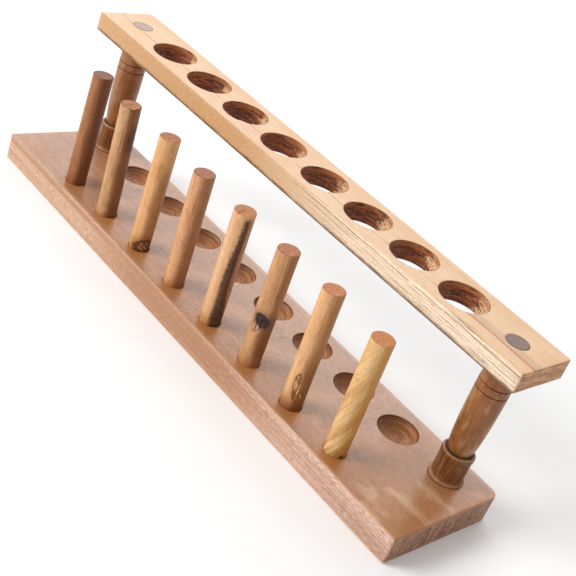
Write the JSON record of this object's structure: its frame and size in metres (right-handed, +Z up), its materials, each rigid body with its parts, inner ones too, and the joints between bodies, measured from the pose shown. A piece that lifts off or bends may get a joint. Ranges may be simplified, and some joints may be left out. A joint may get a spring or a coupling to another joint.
{
  "type": "test tube rack",
  "caption": "Wooden test tube rack: drilled top rail on two turned posts over a dimpled base board, with a row of upright drying pins in front.",
  "frame": {"origin": "on the table, under the middle of the base board", "axes": "+X along the rack, +Y from the drying pins towards the top rail, +Z up"},
  "size_m": [0.307, 0.067, 0.086],
  "materials": {
    "base_wood": "satin varnish over medium brown wood",
    "rail_wood": "satin, pale yellow pine",
    "post_wood": "satin varnish over turned brown wood",
    "pin_brown": "satin, medium brown dowel",
    "pin_tan": "satin, tan dowel",
    "pin_golden": "satin, golden dowel"
  },
  "bodies": {
    "root": {"base_board": "base_wood", "top_rail": "rail_wood", "left_post": "post_wood", "right_post": "post_wood", "drying_pin_1": "pin_brown", "drying_pin_2": "pin_tan", "drying_pin_3": "pin_golden", "drying_pin_4": "pin_brown", "drying_pin_5": "pin_tan", "drying_pin_6": "pin_tan", "drying_pin_7": "pin_tan", "drying_pin_8": "pin_golden"}
  },
  "joints": []
}
